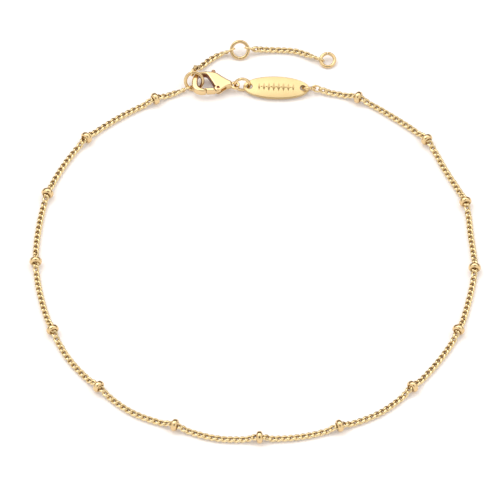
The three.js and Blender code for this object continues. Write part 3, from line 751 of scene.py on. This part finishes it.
def makeBeads():
    profile = [Vector((x - bead["diameter"] / 2, y, 0)) for x, y in beadProfile()]
    places = [onTable(place, bead["diameter"] / 2) for place in beadRoute]
    edges = [(i, (i + 1) % len(profile)) for i in range(len(profile))]
    mesh = meshOf("beads", profile + places, edges)
    marks = [0.0] * len(profile) + [1.0] * len(places)
    headings = [0.0, 0.0, 1.0] * len(profile)
    for heading in beadHeadings:
        headings += [heading.x, heading.y, 0.0]
    mesh.attributes.new("bead", "FLOAT", "POINT").data.foreach_set("value", marks)
    mesh.attributes.new("heading", "FLOAT_VECTOR", "POINT").data.foreach_set("vector", headings)
    thing = grow("rondelle_beads", mesh, beadTree(), {
        "Sides": bead["sides"], "Radius": bead["diameter"] / 2, "Material": paint["polished_gold"],
    })
    cleaned(thing.data, weld)
    shadeSmooth(thing.data)
    names = ["bead_%02d" % (i + 1) for i in range(len(beadRoute))]
    finishPiece(thing, "anklet", "polished_gold", names)


makeBeads()
say("beads")


# Plates with rounded edges, cut and joined

def plate(name, outline, thickness, rounding, roundSteps=4):
    curve = bpy.data.curves.new(name, "CURVE")
    curve.dimensions = "2D"
    curve.fill_mode = "BOTH"
    curve.extrude = thickness / 2 - rounding
    curve.bevel_depth = rounding
    curve.bevel_resolution = roundSteps
    curve.offset = -rounding
    spline = curve.splines.new("POLY")
    spline.points.add(len(outline) - 1)
    for point, place in zip(spline.points, outline):
        point.co = (place.x, place.y, 0, 1)
    spline.use_cyclic_u = True
    source = newObject(name + "_curve", curve)
    mesh = cleaned(evaluatedMesh(source), weld)
    bpy.data.objects.remove(source)
    bpy.data.curves.remove(curve)
    return newObject(name, mesh)


def drum(name, centre, radius, thickness, sides=48):
    outline = [
        Vector((
            centre.x + radius * math.cos(2 * math.pi * i / sides),
            centre.y + radius * math.sin(2 * math.pi * i / sides),
        ))
        for i in range(sides)
    ]
    return plate(name, outline, thickness, 0)


def cutOrJoin(thing, operation, *tools):
    for tool in tools:
        modifier = thing.modifiers.new(operation.lower(), "BOOLEAN")
        modifier.operation = operation
        modifier.solver = "MANIFOLD"
        modifier.object = tool
    applyModifiers(thing)
    drop(*tools)


# Painted shade on each face, from a function of the face's centre
def markPaintedShade(mesh, shade):
    values = [shade(face.center) for face in mesh.polygons]
    mesh.attributes.new("paintedShade", "FLOAT", "FACE").data.foreach_set("value", values)


def softenEdges(thing, width, segments, sharpest=30):
    bevel = thing.modifiers.new("edges", "BEVEL")
    bevel.width = width
    bevel.segments = segments
    bevel.angle_limit = math.radians(sharpest)
    applyModifiers(thing)
    shadeSmooth(thing.data)


casting = {"voxel": 0.05, "rounds": 6, "softness": 0.5}


def castSurface(thing):
    remesh = thing.modifiers.new("cast", "REMESH")
    remesh.mode = "VOXEL"
    remesh.voxel_size = casting["voxel"]
    soften = thing.modifiers.new("soften", "SMOOTH")
    soften.factor = casting["softness"]
    soften.iterations = casting["rounds"]
    applyModifiers(thing)
    shadeSmooth(thing.data)


# Tag: a slim oval plate, slightly domed, with a hole at each tip and an engraved row
# of lozenges and dots

tag = {
    "length": 11.4, "width": 4.3, "thickness": 0.7, "round": 0.15, "dome": 0.13,
    "holeInset": 1.1, "holePlay": 0.3, "turn": -2, "sides": 160, "rounds": 14, "rimSteps": 9,
    "rowLength": 5.9, "lozenges": 8, "lozengeLength": 0.62, "lozengeWidth": 2.3,
    "lozengeCorners": 4, "dot": 0.3, "dotCorners": 12, "depth": 0.16, "above": 0.02,
    "shadeGain": 2.5, "edge": 0.03, "edgeSteps": 2, "edgeAngle": 50, "sharp": 14,
}


def tagPlacement():
    mounts = {mount["name"]: mount for mount in frame["record"]["mounts"]}
    front = Vector(mounts["tag_front"]["pos_m"]) * metre
    back = Vector(mounts["tag_back"]["pos_m"]) * metre
    normal = (front - back).normalized()
    tilt = Matrix.Rotation(math.atan2(-normal.y, normal.z), 4, "X")
    turn = Matrix.Rotation(math.radians(tag["turn"]), 4, "Z")
    return Matrix.Translation((front + back) / 2) @ tilt @ turn


# Loops of the oval from the middle of its back over the rim to the middle of its front
def tagLoops():
    half = tag["thickness"] / 2
    inside = [i / tag["rounds"] for i in range(1, tag["rounds"])]
    loops = [{"share": share, "inset": tag["round"], "height": -half} for share in inside]
    for side, level in ((-1, half), (1, half - tag["dome"])):
        for inset, height in roundedEdge(side, level, tag["round"], tag["rimSteps"]):
            loops.append({"share": 1, "inset": inset, "height": height})
    for share in reversed(inside):
        height = half - tag["dome"] * share * share
        loops.append({"share": share, "inset": tag["round"], "height": height})
    return loops


def tagBlank():
    sides = tag["sides"]
    points = []
    faces = []
    for row, loop in enumerate(tagLoops()):
        across = loop["share"] * (tag["length"] / 2 - loop["inset"])
        up = loop["share"] * (tag["width"] / 2 - loop["inset"])
        for i in range(sides):
            angle = 2 * math.pi * i / sides
            points.append((across * math.cos(angle), up * math.sin(angle), loop["height"]))
            if row:
                a = row * sides + i
                b = row * sides + (i + 1) % sides
                faces.append((a - sides, b - sides, b, a))
    last = len(points)
    points += [(0, 0, -tag["thickness"] / 2), (0, 0, tag["thickness"] / 2)]
    for i in range(sides):
        follows = (i + 1) % sides
        faces.append((last, follows, i))
        faces.append((last + 1, last - sides + i, last - sides + follows))
    return newObject("tag_plate", cleaned(meshOf("tag_plate", points, (), faces), fineWeld))


def engravingTree():
    tree, given, taken = newTree("engraved row", {
        "Count": "Int", "Row Length": "Float", "Corners": "Int", "Length": "Float",
        "Width": "Float", "Depth": "Float", "Above": "Float", "Height": "Float",
        "Material": "Material",
    })
    half = maths(tree, "MULTIPLY", given.outputs["Row Length"], 0.5)
    row = addNode(tree, "GeometryNodeMeshLine", {
        "Count": given.outputs["Count"],
        "Start Location": vectorFrom(
            tree, maths(tree, "MULTIPLY", half, -1.0), 0.0, given.outputs["Height"]
        ),
        "Offset": vectorFrom(tree, half, 0.0, given.outputs["Height"]),
    }, mode="END_POINTS")
    cone = addNode(tree, "GeometryNodeMeshCone", {
        "Vertices": given.outputs["Corners"], "Radius Top": 0.0, "Radius Bottom": 0.5, "Depth": 1.0,
    })
    deep = maths(tree, "ADD", given.outputs["Depth"], given.outputs["Above"])
    sized = addNode(tree, "GeometryNodeTransform", {
        "Geometry": cone.outputs["Mesh"],
        "Scale": vectorFrom(
            tree, given.outputs["Length"], given.outputs["Width"],
            maths(tree, "MULTIPLY", deep, -1.0),
        ),
        "Translation": vectorFrom(tree, 0.0, 0.0, given.outputs["Above"]),
    })
    placed = addNode(tree, "GeometryNodeInstanceOnPoints", {
        "Points": row.outputs[0], "Instance": sized.outputs[0],
    })
    finishTree(tree, given, taken, placed.outputs[0])
    return tree


def engravedRow(name, tree, count, rowLength, corners, length, width):
    thing = grow(name, meshOf(name, []), tree, {
        "Count": count, "Row Length": rowLength, "Corners": corners, "Length": length,
        "Width": width, "Depth": tag["depth"], "Above": tag["above"],
        "Height": tag["thickness"] / 2, "Material": paint["satin_gold"],
    })
    cleaned(thing.data, fineWeld)
    return thing


# Painted shade in the engraving: faces darken with their depth below the domed top
def engravingShade(place):
    across = 2 * place.x / tag["length"]
    up = 2 * place.y / tag["width"]
    surface = tag["thickness"] / 2 - tag["dome"] * (across * across + up * up)
    if abs(place.x) > tag["rowLength"] / 2 + tag["lozengeLength"] or place.z < 0:
        return 0.0
    return eased((surface - place.z) / tag["depth"] * tag["shadeGain"])


def makeTag():
    thing = tagBlank()
    holeX = tag["length"] / 2 - tag["holeInset"]
    holeRadius = rings["tag_ring"]["wire"] / 2 + tag["holePlay"]
    holes = [
        drum("tag_hole", Vector((side * holeX, 0)), holeRadius, 2 * tag["thickness"])
        for side in (-1, 1)
    ]
    tree = engravingTree()
    step = tag["rowLength"] / (tag["lozenges"] - 1)
    lozenges = engravedRow(
        "lozenges", tree, tag["lozenges"], tag["rowLength"], tag["lozengeCorners"],
        tag["lozengeLength"], tag["lozengeWidth"],
    )
    dots = engravedRow(
        "dots", tree, tag["lozenges"] - 1, tag["rowLength"] - step, tag["dotCorners"],
        tag["dot"], tag["dot"],
    )
    cutOrJoin(thing, "DIFFERENCE", *holes, lozenges, dots)
    softenEdges(thing, tag["edge"], tag["edgeSteps"], tag["edgeAngle"])
    thing.data.set_sharp_from_angle(angle=math.radians(tag["sharp"]))
    markPaintedShade(thing.data, engravingShade)
    thing.data.transform(tagPlacement())
    finishPiece(thing, "anklet", "satin_gold", ["tag"])


makeTag()
say("tag")


# Clasp: its own frame has the eyelet's middle at the origin, the hook towards -X
# and the gate on the near side, -Y

clasp = {
    "length": 8.3, "width": 4.5, "thickness": 1.3, "round": 0.26, "turn": -2,
    "hookWidth": 1.0, "farWall": 0.59, "nearWall": 0.77, "pinWall": 0.74,
    "eyelet": 1.6, "eyeletThickness": 0.45, "eyeletPlay": 0.2, "eyeletBite": 0.16,
    "farShare": 0.54, "nearShare": 0.46, "nose": 0.72, "noseArc": (-55, -210),
    "rim": 0.1, "shade": 0.2,
    "spineSteps": 90, "nearSteps": 14, "noseSteps": 30, "openingSteps": 70,
}
hinge = {
    "pin": 0.44, "fit": 0.03, "play": 0.06, "sunk": 0.1, "pinShade": 1.0,
    "edge": 0.05, "edgeSteps": 3,
}
lever = {
    "thickness": 0.55, "play": 0.1, "arm": 0.7, "boss": 0.6, "gateDepth": 0.6, "gateGap": 0.08,
    "gateRound": 0.1, "lip": 0.35, "lap": 0.4, "nub": 0.7, "nubSteps": 20, "travel": 20,
    "shade": 0.8,
}
# The slot for the lever: past is in clasp widths, the others in rooms round the boss
slotCut = {"past": 1.4, "mouth": 1.3, "side": 2, "heel": 0.75, "tail": (0.872, -0.067)}
hookAndSpine = [
    {"along": 0.369, "aside": -0.446},
    {"along": 0.23, "aside": -0.46},
    {"along": 0.086, "aside": -0.373},
    {"along": 0.012, "aside": -0.167},
    {"along": 0, "aside": 0.044},
    {"along": 0.029, "aside": 0.267},
    {"along": 0.108, "aside": 0.427},
    {"along": 0.237, "aside": 0.515},
    {"along": 0.389, "aside": 0.54},
    {"along": 0.533, "aside": 0.533},
    {"along": 0.634, "aside": 0.478},
    {"along": 0.749, "aside": 0.344},
    {"along": 0.893, "aside": 0.205},
    {"along": 1, "aside": 0.115},
]
nearSide = [
    {"along": 1, "aside": -0.082},
    {"along": 0.893, "aside": -0.125},
    {"along": 0.808, "aside": -0.233},
]
openingEdge = [
    {"along": 0.99, "aside": 0.69},
    {"along": 0.9, "aside": 0.54},
    {"along": 0.574, "aside": 0.06},
    {"along": 0.335, "aside": 0},
    {"along": 0.123, "aside": 0.045},
    {"along": 0.018, "aside": 0.236},
    {"along": 0, "aside": 0.522},
    {"along": 0.035, "aside": 0.777},
    {"along": 0.176, "aside": 0.952},
    {"along": 0.387, "aside": 1},
    {"along": 0.55, "aside": 1},
]
hookEnd = -(clasp["length"] - clasp["eyelet"] / 2)
bodyLength = clasp["length"] - clasp["eyelet"] + clasp["eyeletBite"]


def claspPoint(along, aside):
    return Vector((hookEnd + along * bodyLength, aside * clasp["width"]))


pinPlace = claspPoint(0.668, -0.224)
nubPlace = claspPoint(0.541, 0.533)
hookTip = claspPoint(hookAndSpine[0]["along"], hookAndSpine[0]["aside"])
openingLength = pinPlace.x - hookEnd - clasp["hookWidth"] - clasp["pinWall"]
openingTop = clasp["farShare"] * clasp["width"] - clasp["farWall"]
openingWidth = openingTop + clasp["nearShare"] * clasp["width"] - clasp["nearWall"]
openingLow = openingTop - openingWidth
armLean = math.atan2(pinPlace.x - nubPlace.x, nubPlace.y - pinPlace.y)
armLength = (nubPlace - pinPlace).length + lever["nub"] - lever["arm"] / 2
lipEdge = hookTip.y + lever["lip"]
lapStart = hookTip.x - lever["lap"]
cutterHeight = 2 * clasp["thickness"]


def openingPoint(along, aside):
    return Vector((
        hookEnd + clasp["hookWidth"] + along * openingLength,
        openingTop - aside * openingWidth,
    ))


# A place given along and beside the lever's arm
def byArm(along, beside, openDegrees=0):
    slope = armLean - math.radians(openDegrees)
    return Vector((
        pinPlace.x - along * math.sin(slope) + beside * math.cos(slope),
        pinPlace.y + along * math.cos(slope) + beside * math.sin(slope),
    ))


def arcPoints(centre, radius, start, end, steps):
    angles = [math.radians(start + (end - start) * i / steps) for i in range(steps + 1)]
    return [centre + Vector((math.cos(a), math.sin(a))) * radius for a in angles]


def lineThrough(route, pointOn, steps):
    return smoothLine([pointOn(place["along"], place["aside"]) for place in route], steps)


def claspOutline():
    spine = lineThrough(hookAndSpine, claspPoint, clasp["spineSteps"])
    near = lineThrough(nearSide, claspPoint, clasp["nearSteps"])
    nose = arcPoints(pinPlace, clasp["nose"], *clasp["noseArc"], clasp["noseSteps"])
    opening = lineThrough(openingEdge, openingPoint, clasp["openingSteps"])
    return spine + near + nose + opening


def slotOutline():
    beyond = clasp["width"] * slotCut["past"]
    half = lever["arm"] / 2 + lever["play"]
    room = clasp["nose"] + lever["play"]
    mouth = byArm(slotCut["mouth"] * room, -half)
    left = pinPlace.x - slotCut["side"] * room
    low = pinPlace.y - slotCut["side"] * room
    tail = claspPoint(*slotCut["tail"])
    return [
        byArm(beyond, -half),
        mouth,
        Vector((left, mouth.y)),
        Vector((left, low)),
        Vector((tail.x, low)),
        tail,
        byArm(slotCut["heel"] * room, half, lever["travel"]),
        byArm(beyond, half, lever["travel"]),
    ]


def rectangle(left, low, width, height):
    return [
        Vector((left, low)), Vector((left + width, low)),
        Vector((left + width, low + height)), Vector((left, low + height)),
    ]


def claspPlacement():
    joint = next(j for j in frame["joints"] if j["name"] == "clasp_lever_hinge")
    up = -Vector(joint["axis"])
    pitch = Matrix.Rotation(math.atan2(up.x, up.z), 4, "Y")
    turn = Matrix.Rotation(math.radians(clasp["turn"]), 4, "Z")
    pin = Matrix.Translation(Vector(joint["pos_m"]) * metre)
    return pin @ pitch @ turn @ Matrix.Translation(-pinPlace.to_3d())


# The walls of the opening are painted darker below their rims, as painted shade and reflection
def openingShade(place):
    left = hookEnd + clasp["hookWidth"] - clasp["rim"]
    inLength = left < place.x < pinPlace.x
    inWidth = openingLow < place.y < openingTop + clasp["rim"]
    if not (inLength and inWidth):
        return 0.0
    depth = clasp["thickness"] / 2 - place.z - clasp["rim"]
    return eased(depth / clasp["shade"])


def makeClaspBody():
    thing = plate("clasp_casting", claspOutline(), clasp["thickness"], clasp["round"])
    slot = plate("slot", slotOutline(), lever["thickness"] + 2 * lever["play"], 0)
    pocket = plate(
        "pocket", rectangle(lapStart, lipEdge, 3 * lever["lap"], 2 * lever["gateDepth"]),
        cutterHeight, 0,
    )
    cutOrJoin(thing, "DIFFERENCE", slot, pocket)
    eyeletWire = clasp["eyelet"] / 2 - rings["tag_ring"]["wire"] / 2 - clasp["eyeletPlay"]
    eyelet = drum("eyelet", Vector((0, 0)), clasp["eyelet"] / 2, clasp["eyeletThickness"])
    cutOrJoin(thing, "UNION", eyelet)
    hole = drum("hole", Vector((0, 0)), clasp["eyelet"] / 2 - eyeletWire, cutterHeight)
    bore = drum("bore", pinPlace, hinge["pin"] / 2 + hinge["fit"], cutterHeight)
    cutOrJoin(thing, "DIFFERENCE", hole, bore)
    castSurface(thing)
    markPaintedShade(thing.data, openingShade)
    thing.data.transform(claspPlacement())
    finishPiece(thing, "anklet", "polished_gold", ["clasp_body"])


def gateOutline():
    tipX = lapStart + lever["gateGap"]
    restY = lipEdge + lever["gateGap"]
    lipX = hookTip.x + lever["gateGap"]
    return [
        Vector((tipX, restY)),
        Vector((lipX, restY)),
        Vector((lipX, openingLow - lever["gateDepth"])),
        Vector((pinPlace.x, pinPlace.y - lever["gateDepth"] - lever["gateGap"])),
        pinPlace.copy(),
        Vector((tipX, openingLow)),
    ]


def armOutline():
    half = lever["arm"] / 2
    start = math.degrees(armLean)
    nub = arcPoints(byArm(armLength, 0), half, start, start + 180, lever["nubSteps"])
    return [byArm(0, -half), byArm(0, half), *nub]


# The lever's arm and nub are painted darker than its gate, as painted shade in the clasp's opening
def armShade(place):
    return lever["shade"] * eased((place.y - pinPlace.y - lever["boss"]) / lever["boss"])


def makeLever():
    gateThickness = clasp["thickness"] - lever["gateGap"]
    thing = plate("lever_casting", gateOutline(), gateThickness, lever["gateRound"])
    clearNose = drum("clear", pinPlace, clasp["nose"] + lever["gateGap"], cutterHeight)
    cutOrJoin(thing, "DIFFERENCE", clearNose)
    web = plate("web", gateOutline(), lever["thickness"], 0)
    boss = drum("boss", pinPlace, lever["boss"], lever["thickness"])
    arm = plate("arm", armOutline(), lever["thickness"], 0)
    cutOrJoin(thing, "UNION", web, boss, arm)
    bore = drum("bore", pinPlace, hinge["pin"] / 2 + hinge["play"], cutterHeight)
    cutOrJoin(thing, "DIFFERENCE", bore)
    castSurface(thing)
    markPaintedShade(thing.data, armShade)
    thing.data.transform(claspPlacement())
    finishPiece(thing, "lever", "polished_gold", ["clasp_lever"])


def makePin():
    thing = drum("hinge_pin", pinPlace, hinge["pin"] / 2, clasp["thickness"] - 2 * hinge["sunk"])
    softenEdges(thing, hinge["edge"], hinge["edgeSteps"])
    # The whole pin is painted dark, as painted shade
    markPaintedShade(thing.data, lambda place: hinge["pinShade"])
    thing.data.transform(claspPlacement())
    finishPiece(thing, "anklet", "polished_gold", ["clasp_pin"])


makeClaspBody()
makeLever()
makePin()
say("clasp")


# Table, light and camera, in metres

table = {
    "size": 3.0, "drop": 0.00002, "colour": (0.95, 0.915, 0.905), "roughness": 0.7, "glow": 0.1,
}
photo = {
    "elevation": 52.8, "distance": 1.2, "pixelsPerMillimetre": 5.88, "imageWidth": 500,
    "sensor": 36.0, "shift": (-0.0004, 0.0003), "clip": (0.05, 20),
}
# A light tent: even from the front, brightest behind the top, dark low at the back and
# dark round the camera
tent = {
    "front": 1.15, "back": 2.1, "rise": (-0.1, 0.5), "colour": (1.0, 0.99, 0.975),
    "key": 2.0, "keyFrom": (-0.35, 0.25, 0.9), "keySpread": (0.95, 0.985),
    "dark": (0.10, 0.065, 0.045), "slant": 0.8, "band": (0.05, 0.22), "patch": (0.89, 0.975),
}


def makeTable():
    half = table["size"] / 2
    corners = [(-half, -half), (half, -half), (half, half), (-half, half)]
    mesh = meshOf("table", [(x, y, -table["drop"]) for x, y in corners], (), [(0, 1, 2, 3)])
    material = bpy.data.materials.new("table")
    material.use_nodes = True
    shader = material.node_tree.nodes["Principled BSDF"]
    shader.inputs["Base Color"].default_value = (*table["colour"], 1)
    shader.inputs["Roughness"].default_value = table["roughness"]
    shader.inputs["Emission Color"].default_value = (*table["colour"], 1)
    shader.inputs["Emission Strength"].default_value = table["glow"]
    mesh.materials.append(material)
    newObject("table", mesh)


def towardsCamera():
    elevation = math.radians(photo["elevation"])
    return Vector((0, -math.cos(elevation), math.sin(elevation)))


def spot(tree, direction, towards, spread):
    near = addNode(tree, "ShaderNodeVectorMath", {
        0: direction, 1: Vector(towards).normalized(),
    }, operation="DOT_PRODUCT")
    return ranged(tree, near.outputs["Value"], spread, easing="SMOOTHSTEP")


def makeTent():
    sky = bpy.data.worlds.new("tent")
    sky.use_nodes = True
    tree = sky.node_tree
    direction = addNode(tree, "ShaderNodeTexCoord").outputs["Generated"]
    apart = addNode(tree, "ShaderNodeSeparateXYZ", {0: direction})
    atCamera = spot(tree, direction, towardsCamera(), tent["patch"])
    inKey = spot(tree, direction, tent["keyFrom"], tent["keySpread"])
    fallen = maths(tree, "MULTIPLY", apart.outputs[1], tent["slant"])
    height = maths(tree, "SUBTRACT", apart.outputs[2], fallen)
    aboveBand = ranged(tree, height, tent["band"], easing="SMOOTHSTEP")
    lit = maths(tree, "MULTIPLY", aboveBand, maths(tree, "SUBTRACT", 1.0, atCamera))
    brightness = (tent["front"], tent["back"])
    wall = ranged(tree, apart.outputs[1], tent["rise"], brightness, easing="SMOOTHSTEP")
    level = maths(tree, "ADD", maths(tree, "MULTIPLY", inKey, tent["key"]), wall)
    bright = addNode(tree, "ShaderNodeVectorMath", {
        0: tent["colour"], "Scale": level,
    }, operation="SCALE")
    colour = mixed(tree, lit, (*tent["dark"], 1), bright.outputs[0])
    tree.links.new(colour, tree.nodes["Background"].inputs["Color"])
    bpy.context.scene.world = sky


def makeCamera():
    focal = photo["pixelsPerMillimetre"] * photo["distance"] * metre
    data = bpy.data.cameras.new("photo")
    data.sensor_width = photo["sensor"]
    data.lens = photo["sensor"] * focal / photo["imageWidth"]
    data.shift_x, data.shift_y = photo["shift"]
    data.clip_start, data.clip_end = photo["clip"]
    camera = newObject("photo", data)
    camera.location = Vector((shift.x, shift.y, 0)) / metre + towardsCamera() * photo["distance"]
    camera.rotation_euler = (math.pi / 2 - math.radians(photo["elevation"]), 0, 0)
    bpy.context.scene.camera = camera


makeTable()
makeTent()
makeCamera()
bpy.context.scene.view_settings.view_transform = "Standard"
say("studio")
